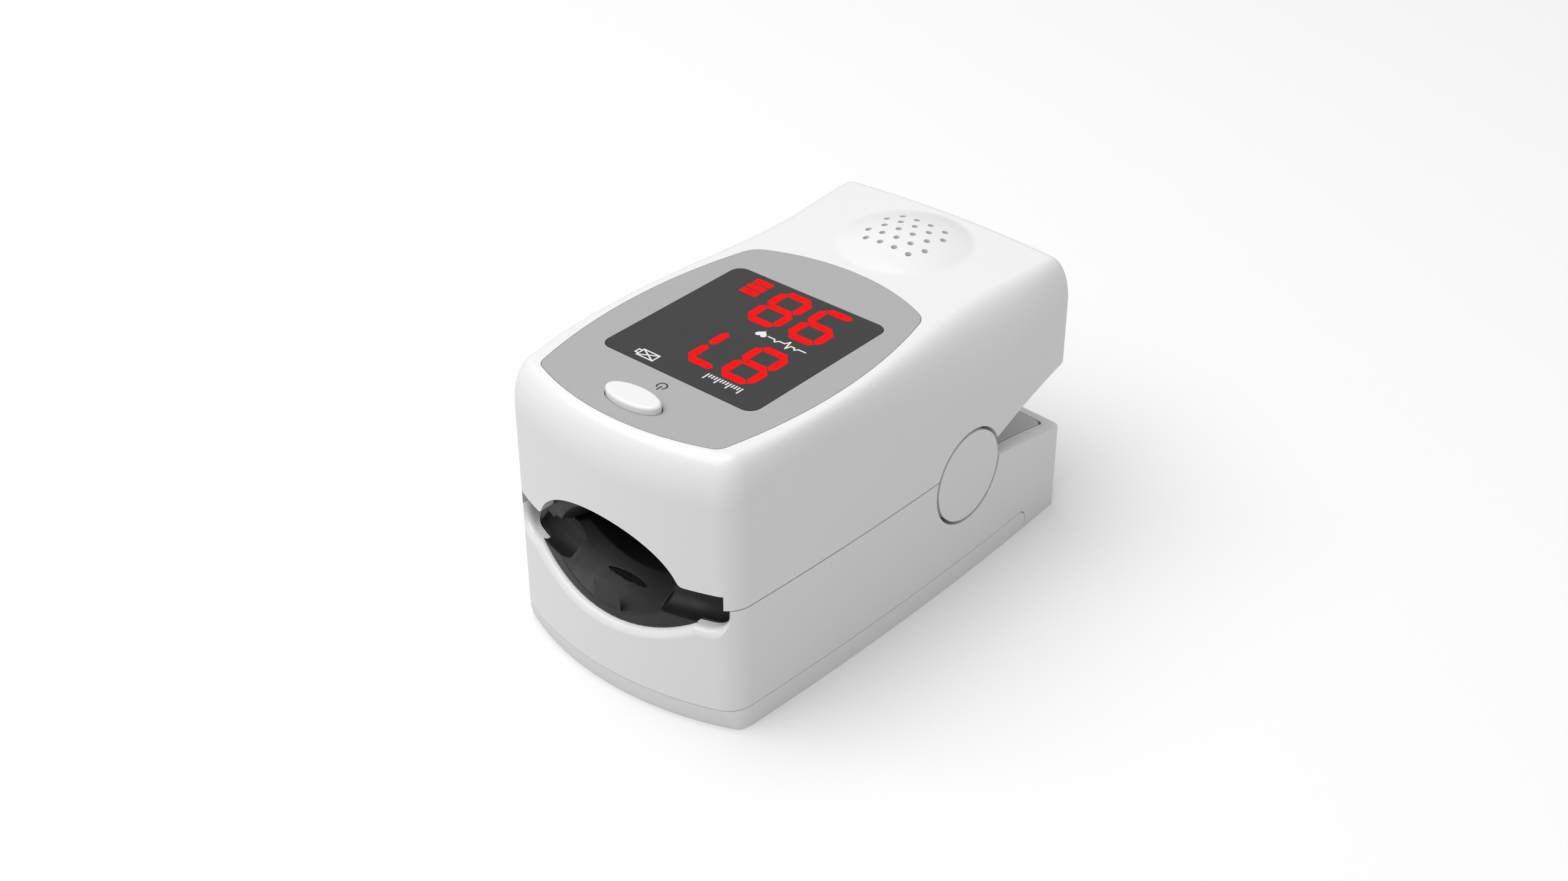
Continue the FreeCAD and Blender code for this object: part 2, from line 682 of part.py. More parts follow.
def upper_finger_pad():
    """The soft pad above the finger: a trough that widens at the mouth, with a roll at each side."""
    block = common("upper_pad_block",
                   plan_block("upper_pad_plan", "wall + 0.15", "parting_z + 0.15", "pad_high_z", 1.6, 0.9),
                   box("upper_pad_reach", ("-20", "20"), ("-40", "pad_rear_y"), ("10", "30")))
    mouth = cone("upper_trough_mouth", 10.2, 8.7, 7.5, 0, "front_y", 11.6, along="y")
    trough = cylinder("upper_trough", 8.7, "pad_rear_y - 2 - front_y", 0, "front_y", 11.6, along="y")
    sight = cylinder("upper_sight", 2.6, 6, 0, -4, 18)
    hollowed = cut("upper_pad_hollowed", block, mouth, trough, sight)
    rolls = pad_ring("upper_pad", "0", "8.6", "12.3", True)
    return node("upper_finger_pad", fuse("upper_finger_pad", hollowed, *rolls))


def led_emitter():
    """The red and infrared lamps in their clear window above the finger."""
    lens_disc = cylinder("emitter_lens", 2.5, 1.4, 0, -4, 20.6)
    body = box("emitter_body", ("-1.8", "1.8"), ("-5.8", "-2.2"), ("22", "22.8"))
    return node("led_emitter", fuse("led_emitter", lens_disc, body))


def screws(name, places, head, shank, head_radius):
    """Pan-head screws with a cross, as separate solids of one node."""
    items = []
    for x, y in places:
        low, high = head
        pin_low, pin_high = shank
        disc = cylinder(name + "_head", head_radius, high - low, x, y, low)
        pin = cylinder(name + "_shank", "screw_radius - 0.02", pin_high - pin_low, x, y, pin_low)
        cross = [box(name + "_cross", (x - a, x + a), (y - b, y + b), (low - 0.1, low + 0.35))
                 for a, b in ((0.9, 0.2), (0.2, 0.9))]
        items.append(cut(name + "_screw", fuse(name + "_blank", disc, pin), *cross))
    return items


def cover_volume(name, grow):
    """The room of the battery cover, grown by grow, with its rounded rear end."""
    block = box(name + "_box", ("-20", "20"), ("front_y - 5", "cover_rear_y + %s" % grow),
                ("-1", "cover_z + %s" % grow))
    high, rear = size("cover_z"), size("cover_rear_y")

    def rear_edge(edge):
        middle = edge.CenterOfMass
        lies = edge.BoundBox.XLength > 30 and middle.z > high - 0.5 and middle.y > rear - 0.5
        return (size("cover_round"), size("cover_round")) if lies else None

    return fillet(name, block, rear_edge)


def lower_outline():
    """The lower jaw's outside, which leans in a little towards the foot of the rear."""
    plan = plan_block("lower_plan", "0", "0", "parting_z - parting_gap / 2",
                      size("front_corner"), size("rear_corner"))
    lean = cone("lower_rear_lean", "rear_radius - rear_lean", "rear_radius + rear_lean / 2", "16", 0,
                "rear_y - rear_radius", 0)
    return common("lower_outline", plan, lean)


LOWER_SCREWS = ((-12.9, -21.5), (12.9, -21.5))
REAR_SCREWS = ((-12.3, 25.6), (12.3, 25.6))


def lipped_block():
    """A wide block behind the bowed front, with the lower half of the opening and its round lip."""
    high = "parting_z - parting_gap / 2"
    front = common("lip_front", cylinder("lip_bow", "front_radius", high, 0, "front_y + front_radius", 0),
                   box("lip_reach", ("-20", "20"), ("front_y - 1", "front_y + 8"), ("0", high)))
    sill = cylinder("sill", "sill_radius", "10", 0, "front_y - 1", "sill_z + sill_radius", along="y")
    opened = cut("lip_opened", front, sill, slot_prism("lower_slot", "front_y + 9"))
    lip = size("lip_round")
    middle_y = size("front_y") + size("front_radius")

    def lip_edges(edge):
        spot = edge.CenterOfMass
        first, last = edge.ParameterRange
        middle = edge.valueAt((first + last) / 2)
        on_front = abs(math.hypot(middle.x, middle.y - middle_y) - size("front_radius")) < 1e-2
        inside = size("sill_z") - 0.1 < spot.z < size("parting_z") - 0.1 and abs(spot.x) < 15.5
        return (lip, lip) if on_front and inside else None

    return fuse("lip_block", fillet("lip_rounded", opened, lip_edges),
                box("lip_rear", ("-20", "20"), ("front_y + 8", "rear_y + 5"), ("0", high)))


def lower_shell():
    """The lower jaw's shell: walls, sill, rear foot, screw posts and hinge knuckles."""
    cavity = plan_block("lower_cavity", "wall", "2", "20", 1.6, 0.9)
    recesses = mirrored_pair("lower_recess", lambda name, sign: hinge_disc(
        name, "recess_radius", *outward(sign, "half_width - wall - 0.6", "half_width + 2")))
    walls = cut("lower_walls", common("lower_lipped", lower_outline(), lipped_block()), cavity,
                cover_volume("cover_room", "cover_gap"), above_ramp("lower_ramp"), *recesses)
    knuckles = []
    for side, sign in SIDES:
        reach = outward(sign, "half_width - 3.9", "half_width - 2.4")
        knuckles.append(hinge_disc("knuckle_" + side, "knuckle_radius", *reach))
        knuckles.append(box("knuckle_arm_" + side, reach, ("hinge_y - 3.2", "hinge_y + 3.2"),
                            ("3", "hinge_z")))
        knuckles.append(box("knuckle_root_" + side, outward(sign, "half_width - 3.9", "half_width - 1.2"),
                            ("hinge_y - 3.2", "hinge_y + 3.2"), ("3", "7")))
    posts = [cylinder("front_post", "1.9", "7.8", x, y, "3.7") for x, y in LOWER_SCREWS]
    posts += [cylinder("rear_post", "1.9", "7.8", x, y, "1.9") for x, y in REAR_SCREWS]
    walls = fuse("lower_walls_built", walls, *(knuckles + posts))
    bores = [hinge_disc("knuckle_bore", "pin_radius", "-half_width + 2", "half_width - 2"),
             box("latch_slot", ("-4.2", "4.2"), ("20", "24.2"), ("0.95", "1.85"))]
    bores += [cylinder("front_post_bore", "screw_radius", "9", x, y, "3") for x, y in LOWER_SCREWS]
    bores += [cylinder("rear_post_bore", "screw_radius", "11", x, y, "-1") for x, y in REAR_SCREWS]
    bores += [cylinder("rear_screw_seat", "1.8", "2.1", x, y, "-1") for x, y in REAR_SCREWS]
    return node("lower_shell", cut("lower_shell", walls, *bores))


def lower_inner_cover():
    """The plate under the lower pad, and the panel that faces the squeeze gap."""
    slab = common("lower_slab", plan_block("lower_slab_plan", "wall + 0.15", "11.55", "12.3", 1.6, 0.9),
                  box("lower_slab_reach", ("-12.8", "12.8"), ("-26.4", "hinge_y + 4"), ("10", "14")))
    riser = box("lower_riser", ("-12.8", "12.8"), ("hinge_y + 3", "hinge_y + 5.5"), ("11.55", "13.9"))
    panel = common("lower_panel", plan_block("lower_panel_plan", "wall + 0.12", "8", "16", 1.6, 1.5),
                   cylinder("lower_panel_top", "ramp_radius", "44", "-22", "ramp_y", "ramp_z", along="x"),
                   box("lower_panel_reach", ("-20", "20"), ("hinge_y + 4.4", "40"), ("5", "20")))
    inner = cylinder("lower_panel_under", "ramp_radius - 1.2", "44", "-22", "ramp_y", "ramp_z", along="x")
    under = common("lower_panel_hollow", inner, box("lower_panel_under_reach", ("-20", "20"),
                                                    ("hinge_y + 5.5", "40"), ("-5", "20")))
    cover = fuse("lower_inner_cover_blank", slab, cut("lower_panel_thin", panel, under),
                 common("lower_riser_trimmed", riser,
                        cylinder("lower_riser_top", "ramp_radius", "44", "-22", "ramp_y", "ramp_z", along="x")))
    coil_room = box("coil_room", ("-5.2", "5.2"), ("hinge_y - 4.6", "hinge_y + 2.8"), ("11", "13"))
    cell_room = box("cell_room", ("-11", "11"), ("hinge_y + 4", "hinge_y + 5.6"), ("7", "11.5"))
    ear_rooms = mirrored_pair("ear_room", lambda name, sign: box(
        name, outward(sign, "half_width - 5.9", "half_width - 2"), ("hinge_y - 4", "hinge_y + 4"),
        ("11", "14.5")))
    return node("lower_inner_cover", cut("lower_inner_cover", cover, coil_room, cell_room, *ear_rooms))


def lower_finger_pad():
    """The soft pad below the finger: a shallow trough with a rim that fills the sill."""
    block = common("lower_pad_block",
                   plan_block("lower_pad_plan", "wall + 0.15", "pad_low_z", "parting_z - 0.15", 1.6, 0.9),
                   box("lower_pad_reach", ("-20", "20"), ("-40", "pad_rear_y"), ("10", "30")))
    rim = common("lower_pad_rim", plan_block("lower_rim_plan", "lip_round", "9", "parting_z - 0.15", 2.4, 0.9),
                 cylinder("rim_curve", "sill_radius - 0.03", "5", 0, "front_y - 1", "sill_z + sill_radius",
                          along="y"),
                 box("rim_reach", ("-12", "12"), ("front_y", "-26.5"), ("9", "parting_z - 0.15")))
    block = fuse("lower_pad_rimmed", block, rim)
    mouth = cone("lower_trough_mouth", 14.7, 12, 5, 0, "front_y + 0.9", 25.1, along="y")
    trough = cylinder("lower_trough", 12, "pad_rear_y - 2 - front_y", 0, "front_y", 25.1, along="y")
    sight = cylinder("lower_sight", 2.6, 4, 0, -4, 11)
    rolls = pad_ring("lower_pad_room", "0.3", "6.5", "16", False)
    return node("lower_finger_pad", cut("lower_finger_pad", block, mouth, trough, sight, *rolls))


def photodiode():
    """The light sensor below the finger, on its small board."""
    node("photodiode", cylinder("photodiode", 2.5, 0.7, 0, -4, 12.35))


def battery(name, x, tip_front):
    """An AAA cell: can, shoulder and tip."""
    front = "cell_front_y"
    can = cylinder(name + "_can", "cell_radius", "cell_long", x, front, "cell_z", along="y")
    can = fillet(name + "_rounded", can, lambda edge: (0.5, 0.5) if edge.Closed and edge.Length > 20 else None)
    tip_y = "cell_front_y - 0.8" if tip_front else "cell_front_y + cell_long"
    tip = cylinder(name + "_tip", 1.9, 0.8, x, tip_y, "cell_z", along="y")
    return node(name, fuse(name, can, tip))


def coil(name, radius, wire, pitch, turns, x, y, z, along):
    """A round-wire coil that starts at x, y, z."""
    spine = doc.addObject("Part::Helix", name + "_spine")
    bind(spine, Radius=radius, Pitch=pitch, Height=pitch * turns, SegmentLength=1)
    section = doc.addObject("Part::Circle", name + "_section")
    bind(section, Radius=wire)
    section.Placement = FreeCAD.Placement(FreeCAD.Vector(radius, 0, 0),
                                          FreeCAD.Rotation(FreeCAD.Vector(1, 0, 0), 90))
    doc.recompute()
    sweep = doc.addObject("Part::Sweep", name)
    sweep.Sections = [section]
    sweep.Spine = (spine, ["Edge%d" % (place + 1) for place in range(len(spine.Shape.Edges))])
    sweep.Solid = True
    sweep.Frenet = True
    sweep.Placement = FreeCAD.Placement(FreeCAD.Vector(x, y, z), ALONG[along])
    return sweep


def battery_holder():
    """The frame, contacts and springs that hold the two cells."""
    front = box("frame_front", ("-10.2", "10.2"), ("cell_front_y - 2.6", "cell_front_y - 1.6"), ("2.9", "9"))
    rear = box("frame_rear", ("-10.9", "10.9"), ("cell_front_y + cell_long + 1.6",
                                               "cell_front_y + cell_long + 2.6"), ("2.9", "10.9"))
    rib = box("frame_rib", ("-0.25", "0.25"), ("cell_front_y - 2.6", "cell_front_y + cell_long + 2.6"),
              ("2.9", "7"))
    node("battery_frame", fuse("battery_frame", front, rear, rib))
    plates = []
    for end_y in ("cell_front_y - 1.6", "cell_front_y + cell_long + 1.2"):
        for side, sign in SIDES:
            plates.append(box("contact_" + side, outward(sign, "1.6", "9.4"),
                              (end_y, "%s + 0.4" % end_y), ("3.4", "10.2")))
    group("battery_contacts", *plates)
    x, z = size("cell_x"), size("cell_z")
    front_y = size("cell_front_y")
    rear_y = front_y + size("cell_long")
    group("battery_springs",
          coil("front_spring", 2.6, 0.2, 0.5, 1.5, -x, front_y - 1.0, z, "y"),
          coil("rear_spring", 2.6, 0.2, 0.5, 1.5, x, rear_y + 0.22, z, "y"))


def hinge():
    """The pin, its spring and the two round caps."""
    node("hinge_pin", hinge_disc("hinge_pin", "pin_radius - 0.01", "-half_width + 2.5", "half_width - 2.5"))
    spring = coil("spring_coil", 1.6, 0.28, 0.75, 9, -3.4, size("hinge_y"), size("hinge_z"), "x")
    node("torsion_spring", spring)
    ball = plan_block("cap_plan", "0", "5", "25", 1, 1)
    for side, sign in SIDES:
        disc = hinge_disc("cap_disc_" + side, "cap_radius", *outward(sign, "half_width - 1.3", "half_width + 1"))
        face = common("cap_face_" + side, disc, ball)
        stem = hinge_disc("cap_stem_" + side, "2", *outward(sign, "half_width - 2.35", "half_width - 1"))
        node("hinge_cap_" + side, fuse("hinge_cap_" + side, face, stem))


def battery_cover():
    """The tray that slides out forward: it carries the finger grip and a latch at its rear."""
    plan = plan_block("cover_plan", "0", "0", "6", size("front_corner"), size("rear_corner"))
    lean = cone("cover_front_lean", "front_radius - cover_lean", "front_radius", "cover_z", 0,
                "front_y + front_radius", 0)
    tray = common("cover_blank", plan, lean, cover_volume("cover_form", "0"))
    room = plan_block("cover_room_plan", "1.2", "0.9", "6", 2, 1)
    grips = [cylinder("cover_grip", "0.5", "14", "-7", "-22 + %s" % (1.6 * place), "-0.15", along="x")
             for place in range(6)]
    tray = cut("cover_tray", tray, room, box("cover_rear_room", ("-15.6", "15.6"), ("15", "24"), ("0.9", "3")),
               *grips)
    tongue = box("cover_tongue", ("-2.4", "2.4"), ("cover_rear_y - 2", "cover_rear_y + 1.6"), ("1.05", "1.7"))
    root = box("cover_tongue_root", ("-2.4", "2.4"), ("cover_rear_y - 2", "cover_rear_y - 0.6"), ("0.5", "1.7"))
    return node("battery_cover", fuse("battery_cover", tray, tongue, root))


def build():
    """Every sub-part of the oximeter."""
    upper_shell()
    faceplate()
    display_window()
    display_module()
    display_segments()
    power_button()
    electronics()
    speaker()
    upper_inner_cover()
    upper_finger_pad()
    led_emitter()
    group("upper_screws", *screws("upper_screw", SCREW_PLACES, (22.95, 23.85), (23.8, 30), 1.7))
    lower_shell()
    lower_inner_cover()
    lower_finger_pad()
    photodiode()
    battery("battery_1", "-cell_x", False)
    battery("battery_2", "cell_x", True)
    battery_holder()
    hinge()
    group("lower_screws", *(screws("lower_screw", LOWER_SCREWS, (2.85, 3.7), (3.6, 10.5), 1.3)
                            + screws("rear_screw", REAR_SCREWS, (0.3, 1.1), (1.0, 8.5), 1.6)))
    battery_cover()


def check():
    """Stop if any object failed or any sub-part isn't a valid solid."""
    doc.recompute()
    faults = [item.Name for item in doc.Objects if "Invalid" in item.State or "Error" in item.State]
    for item in nodes:
        shape = item.Shape
        if shape.isNull() or not shape.isValid() or not shape.Solids:
            faults.append(item.Label + " shape")
    if faults:
        raise RuntimeError("failed: " + ", ".join(faults))


build()
check()
os.makedirs("parts", exist_ok=True)
for item in nodes:
    item.Shape.exportStep("parts/%s.step" % item.Label)
    print("%-20s %2d solid(s) %9.1f mm3" % (item.Label, len(item.Shape.Solids), item.Shape.Volume))
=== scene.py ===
"""Fingertip pulse oximeter: finishes, soft pads, lit display and a plain studio.

Every length is in metres. The part's frame has +Z up and the finger goes in from -Y.
"""
import json
import math

import bmesh
import bpy
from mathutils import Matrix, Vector


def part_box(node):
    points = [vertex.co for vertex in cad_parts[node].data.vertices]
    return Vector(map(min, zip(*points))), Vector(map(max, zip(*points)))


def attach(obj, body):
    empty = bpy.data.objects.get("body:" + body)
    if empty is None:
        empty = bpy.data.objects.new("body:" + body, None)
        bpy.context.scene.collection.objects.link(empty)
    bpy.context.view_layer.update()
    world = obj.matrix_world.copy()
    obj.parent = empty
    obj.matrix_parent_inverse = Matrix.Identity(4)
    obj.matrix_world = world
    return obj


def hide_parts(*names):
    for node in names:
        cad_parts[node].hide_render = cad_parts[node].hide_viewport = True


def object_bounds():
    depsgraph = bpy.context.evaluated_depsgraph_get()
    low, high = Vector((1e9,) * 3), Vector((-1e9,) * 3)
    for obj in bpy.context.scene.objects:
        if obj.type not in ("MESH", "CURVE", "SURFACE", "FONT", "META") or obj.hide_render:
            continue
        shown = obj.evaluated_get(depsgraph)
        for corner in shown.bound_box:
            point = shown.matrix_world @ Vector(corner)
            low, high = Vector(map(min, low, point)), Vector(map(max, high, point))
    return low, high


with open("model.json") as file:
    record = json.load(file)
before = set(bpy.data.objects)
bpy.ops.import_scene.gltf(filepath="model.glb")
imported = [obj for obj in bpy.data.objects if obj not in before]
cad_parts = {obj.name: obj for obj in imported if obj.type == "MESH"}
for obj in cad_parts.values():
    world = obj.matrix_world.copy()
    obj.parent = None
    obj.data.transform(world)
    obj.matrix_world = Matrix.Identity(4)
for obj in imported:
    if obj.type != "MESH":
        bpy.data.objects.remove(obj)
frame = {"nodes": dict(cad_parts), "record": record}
size_at_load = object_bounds()
nodes = frame["nodes"]
MM = 0.001
SILICONE_BLACK = (0.012, 0.012, 0.013, 1)
PLASTIC_GREY = (0.58, 0.58, 0.59, 1)
STEEL_GREY = (0.55, 0.55, 0.53, 1)
COPPER = (0.60, 0.30, 0.10, 1)
JACKET_BLACK = (0.012, 0.012, 0.014, 1)


# ---------------------------------------------------------------- finishes

def linear(level):
    """A display level from 0 to 255 as linear light."""
    share = level / 255
    return share / 12.92 if share <= 0.04045 else ((share + 0.055) / 1.055) ** 2.4


def noise(tree, coordinates, feature, detail=3.0):
    """A noise texture whose blotches are about one feature wide."""
    texture = tree.nodes.new("ShaderNodeTexNoise")
    texture.inputs["Scale"].default_value = 1 / feature
    texture.inputs["Detail"].default_value = detail
    tree.links.new(coordinates, texture.inputs["Vector"])
    return texture


def spread(tree, texture, low, high):
    """A noise texture's grey spread from low to high."""
    ramp = tree.nodes.new("ShaderNodeMapRange")
    ramp.inputs["From Min"].default_value = 0.3
    ramp.inputs["From Max"].default_value = 0.7
    ramp.inputs["To Min"].default_value = low
    ramp.inputs["To Max"].default_value = high
    tree.links.new(texture.outputs["Fac"], ramp.inputs["Value"])
    return ramp.outputs["Result"]


def finish(name, color, roughness, patina=0.02, wear=0.04, grain=0.3 * MM, depth=0.002 * MM,
           stretch=(1, 1, 1), **constants):
    """A finish: a base colour with slight mottling, uneven gloss and a fine grain in relief."""
    material = bpy.data.materials.new(name)
    material.use_nodes = True
    tree = material.node_tree
    shader = tree.nodes["Principled BSDF"]
    for socket, value in constants.items():
        shader.inputs[socket.replace("_", " ")].default_value = value
    place = tree.nodes.new("ShaderNodeTexCoord")
    turn = tree.nodes.new("ShaderNodeMapping")
    turn.inputs["Scale"].default_value = stretch
    tree.links.new(place.outputs["Object"], turn.inputs["Vector"])
    coordinates = turn.outputs["Vector"]

    tone = tree.nodes.new("ShaderNodeMix")
    tone.data_type = "RGBA"
    tone.blend_type = "MULTIPLY"
    tone.inputs["Factor"].default_value = 1
    tone.inputs["A"].default_value = color
    tree.links.new(spread(tree, noise(tree, coordinates, 7 * MM), 1 - patina, 1), tone.inputs["B"])
    tree.links.new(tone.outputs["Result"], shader.inputs["Base Color"])
    gloss = spread(tree, noise(tree, coordinates, 2.5 * MM), roughness - wear / 2, roughness + wear / 2)
    tree.links.new(gloss, shader.inputs["Roughness"])
    relief = tree.nodes.new("ShaderNodeBump")
    relief.inputs["Distance"].default_value = depth
    tree.links.new(noise(tree, coordinates, grain, 4).outputs["Fac"], relief.inputs["Height"])
    tree.links.new(relief.outputs["Normal"], shader.inputs["Normal"])
    return material


def banded(material, axis, stops):
    """Colour a finish in bands along an axis: stops are (place in metres, colour), in order."""
    tree = material.node_tree
    shader = tree.nodes["Principled BSDF"]
    place = tree.nodes.new("ShaderNodeTexCoord")
    split = tree.nodes.new("ShaderNodeSeparateXYZ")
    tree.links.new(place.outputs["Object"], split.inputs["Vector"])
    first, last = stops[0][0], stops[-1][0]
    scale = tree.nodes.new("ShaderNodeMapRange")
    scale.inputs["From Min"].default_value = first
    scale.inputs["From Max"].default_value = last + 0.001
    tree.links.new(split.outputs[axis], scale.inputs["Value"])
    ramp = tree.nodes.new("ShaderNodeValToRGB")
    ramp.color_ramp.interpolation = "CONSTANT"
    points = ramp.color_ramp.elements
    while len(points) < len(stops):
        points.new(0.5)
    for point, (at, color) in zip(points, stops):
        point.position = (at - first) / (last + 0.001 - first)
        point.color = color
    tree.links.new(scale.outputs["Result"], ramp.inputs["Fac"])
    tree.links.new(ramp.outputs["Color"], shader.inputs["Base Color"])
    return material


def glow(name, color, strength):
    """A lit mark of one even colour; printed marks made with it glow too, which is painted light."""
    material = finish(name, (0, 0, 0, 1), 0.9, grain=0.1 * MM, Specular_IOR_Level=0.0)
    shader = material.node_tree.nodes["Principled BSDF"]
    shader.inputs["Emission Color"].default_value = color
    shader.inputs["Emission Strength"].default_value = strength
    return material


def seen_brighter(material, seen):
    """Show a finish in another colour to the camera than to the light that bounces off it."""
    tree = material.node_tree
    shader = tree.nodes["Principled BSDF"]
    bounced = shader.inputs["Base Color"].links[0].from_socket
    rays = tree.nodes.new("ShaderNodeLightPath")
    choice = tree.nodes.new("ShaderNodeMix")
    choice.data_type = "RGBA"
    choice.inputs["B"].default_value = seen
    tree.links.new(rays.outputs["Is Camera Ray"], choice.inputs["Factor"])
    tree.links.new(bounced, choice.inputs["A"])
    tree.links.new(choice.outputs["Result"], shader.inputs["Base Color"])
    return material


CELL_FRONT, CELL_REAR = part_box("battery_1")
CELL_RIM, COPPER_BAND = 1.2 * MM, 14 * MM
CELL_BANDS = (
    (CELL_FRONT.y, STEEL_GREY),
    (CELL_FRONT.y + CELL_RIM, COPPER),
    (CELL_FRONT.y + COPPER_BAND, JACKET_BLACK),
    (CELL_REAR.y - CELL_RIM, STEEL_GREY),
)

finishes = {
    "shell_white": finish("glossy white plastic", (0.80, 0.80, 0.80, 1), 0.24, patina=0.006,
                          grain=0.8 * MM, depth=0.0012 * MM),
    "faceplate_grey": finish("grey faceplate", (0.385, 0.385, 0.385, 1), 0.5, patina=0.01,
                             grain=0.12 * MM, depth=0.002 * MM),
    "window_dark": finish("dark window", (0.045, 0.045, 0.045, 1), 0.45, patina=0.02,
                          grain=2 * MM, depth=0.001 * MM, Specular_IOR_Level=0.15),
    "display_red": glow("lit red", (1.0, linear(28), linear(28), 1), 1.0),
    # Painted light: the white marks are print, yet they glow with their own light instead of being lit by the
    # lamps.
    "print_white": glow("printed marks glowing as painted light", (0.95, 0.95, 0.95, 1), 0.9),
    "print_dark": finish("dark print", (0.02, 0.02, 0.02, 1), 0.5, grain=0.1 * MM),
    "pad_black": finish("black silicone", SILICONE_BLACK, 0.5, patina=0.15, wear=0.12, grain=0.16 * MM,
                        depth=0.012 * MM, Sheen_Weight=0.08, Sheen_Roughness=0.4),
    "inner_grey": finish("light grey plastic", PLASTIC_GREY, 0.4, grain=0.15 * MM,
                         depth=0.006 * MM),
    "board_green": finish("board green", (0.01, 0.10, 0.035, 1), 0.35, patina=0.3, grain=0.5 * MM,
                          depth=0.01 * MM),
    "chip_black": finish("chip black", (0.012, 0.012, 0.012, 1), 0.45, grain=0.08 * MM,
                         depth=0.004 * MM),
    "spring_steel": finish("spring steel", (0.58, 0.57, 0.55, 1), 0.28, patina=0.1,
                           stretch=(1, 0.1, 1), Metallic=1.0),
    "contact_steel": finish("nickelled contact", (0.66, 0.64, 0.60, 1), 0.32, patina=0.08,
                            stretch=(0.1, 1, 1), Metallic=1.0),
    "cell_jacket": banded(finish("cell jacket", (0.02, 0.02, 0.02, 1), 0.3, grain=0.5 * MM),
                          "Y", CELL_BANDS),
    # Painted shade: the lens is clear, but here it is coloured near-black and lets no light through, standing
    # for the shade inside the finger opening.
    "lens_clear": finish("lens darkened as painted shade", (0.012, 0.012, 0.014, 1), 0.5, Specular_IOR_Level=0.2, IOR=1.49),
    "speaker_black": finish("speaker black", (0.02, 0.02, 0.02, 1), 0.55),
    "foam_grey": finish("foam", (0.09, 0.09, 0.09, 1), 0.9, patina=0.2, grain=0.3 * MM,
                        depth=0.05 * MM),
}

for part in frame["record"]["subparts"]:
    coat = finishes[part["material_slot"]]
    for place in nodes[part["node"]].material_slots:
        place.link = "OBJECT"
        place.material = coat

# The front of the lower cover lies under the pad, which is open to it at the mouth, so it is black there.
COVER_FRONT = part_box("lower_inner_cover")[0].y
BLACK_REAR = 9 * MM
two_tone = banded(finish("two-tone plastic", PLASTIC_GREY, 0.5, grain=0.15 * MM, depth=0.006 * MM), "Y",
                  ((COVER_FRONT, SILICONE_BLACK), (BLACK_REAR, PLASTIC_GREY)))
for place in nodes["lower_inner_cover"].material_slots:
    place.material = two_tone


# ---------------------------------------------------------------- soft pads

SKIN_VOXEL = 0.10 * MM
SOFTENING_PASSES = 6


def soft_pad(name, node, body):
    """A moulded silicone pad: the node's form with every edge softened, rebuilt as an even skin."""
    pad = bpy.data.objects.new(name, nodes[node].data.copy())
    bpy.context.scene.collection.objects.link(pad)
    bpy.context.view_layer.objects.active = pad
    rebuilt = pad.modifiers.new("skin", "REMESH")
    rebuilt.mode = "VOXEL"
    rebuilt.voxel_size = SKIN_VOXEL
    rebuilt.adaptivity = 0
    soften = pad.modifiers.new("soften", "SMOOTH")
    soften.factor = 0.5
    soften.iterations = SOFTENING_PASSES
    whole = bpy.context.evaluated_depsgraph_get()
    skin = bpy.data.meshes.new_from_object(pad.evaluated_get(whole))
    pad.modifiers.clear()
    pad.data = skin
    skin.name = name
    skin.shade_smooth()
    skin.materials.clear()
    skin.materials.append(finishes["pad_black"])
    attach(pad, body)
    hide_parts(node)


soft_pad("upper_pad_skin", "upper_finger_pad", "upper_jaw")
soft_pad("lower_pad_skin", "lower_finger_pad", "lower_jaw")


# ---------------------------------------------------------------- display

def plates(name, outlines, low, high, slot, replaced=()):
    """Thin flat pieces with the given outlines, as one object on the upper jaw."""
    form = bmesh.new()
    for outline in outlines:
        lower = [form.verts.new((x, y, low)) for x, y in outline]
        upper = [form.verts.new((x, y, high)) for x, y in outline]
        form.faces.new(lower)
        form.faces.new(upper)
        for i in range(len(outline)):
            j = (i + 1) % len(outline)
            form.faces.new((lower[i], lower[j], upper[j], upper[i]))
    bmesh.ops.recalc_face_normals(form, faces=form.faces)
    mesh = bpy.data.meshes.new(name)
    form.to_mesh(mesh)
    form.free()
    mesh.materials.append(finishes[slot])
    piece = bpy.data.objects.new(name, mesh)
    bpy.context.scene.collection.objects.link(piece)
    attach(piece, "upper_jaw")
    if replaced:
        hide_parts(*replaced)


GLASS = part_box("display_window")[1].z
SUNK = 0.05 * MM
DIGIT_WIDE, DIGIT_TALL, STROKE = 4.55, 7.43, 1.03
SEGMENT_GAP = 0.09


def read_from_hinge(left, top, points):
    """Millimetre points, right and down from a place on the display, as it is read from the hinge."""
    return [((left - across) * MM, (top + down) * MM) for across, down in points]


def bar_segment(row):
    """A digit's level segment, with pointed ends."""
    half = STROKE / 2
    start = half + SEGMENT_GAP
    end = DIGIT_WIDE - start
    point = half * 0.8
    return [(start, row), (start + point, row - half), (end - point, row - half), (end, row),
            (end - half, row + half), (start + half, row + half)]


def post_segment(column, top, foot):
    """A digit's upright segment, with pointed ends."""
    half = STROKE / 2
    top += SEGMENT_GAP
    foot -= SEGMENT_GAP
    return [(column, top), (column + half, top + half), (column + half, foot - half), (column, foot),
            (column - half, foot - half), (column - half, top + half)]


def digit(lit):
    """The lit segments of a seven-segment digit, named a to g."""
    half = STROKE / 2
    middle = DIGIT_TALL / 2
    forms = {
        "a": bar_segment(half),
        "b": post_segment(DIGIT_WIDE - half, half, middle),
        "c": post_segment(DIGIT_WIDE - half, middle, DIGIT_TALL - half),
        "d": [(x, DIGIT_TALL - y) for x, y in bar_segment(half)],
        "e": post_segment(half, middle, DIGIT_TALL - half),
        "f": post_segment(half, half, middle),
        "g": bar_segment(middle),
    }
    return [forms[letter] for letter in lit]


def block(x0, y0, x1, y1):
    """A rectangle."""
    return [(x0, y0), (x1, y0), (x1, y1), (x0, y1)]


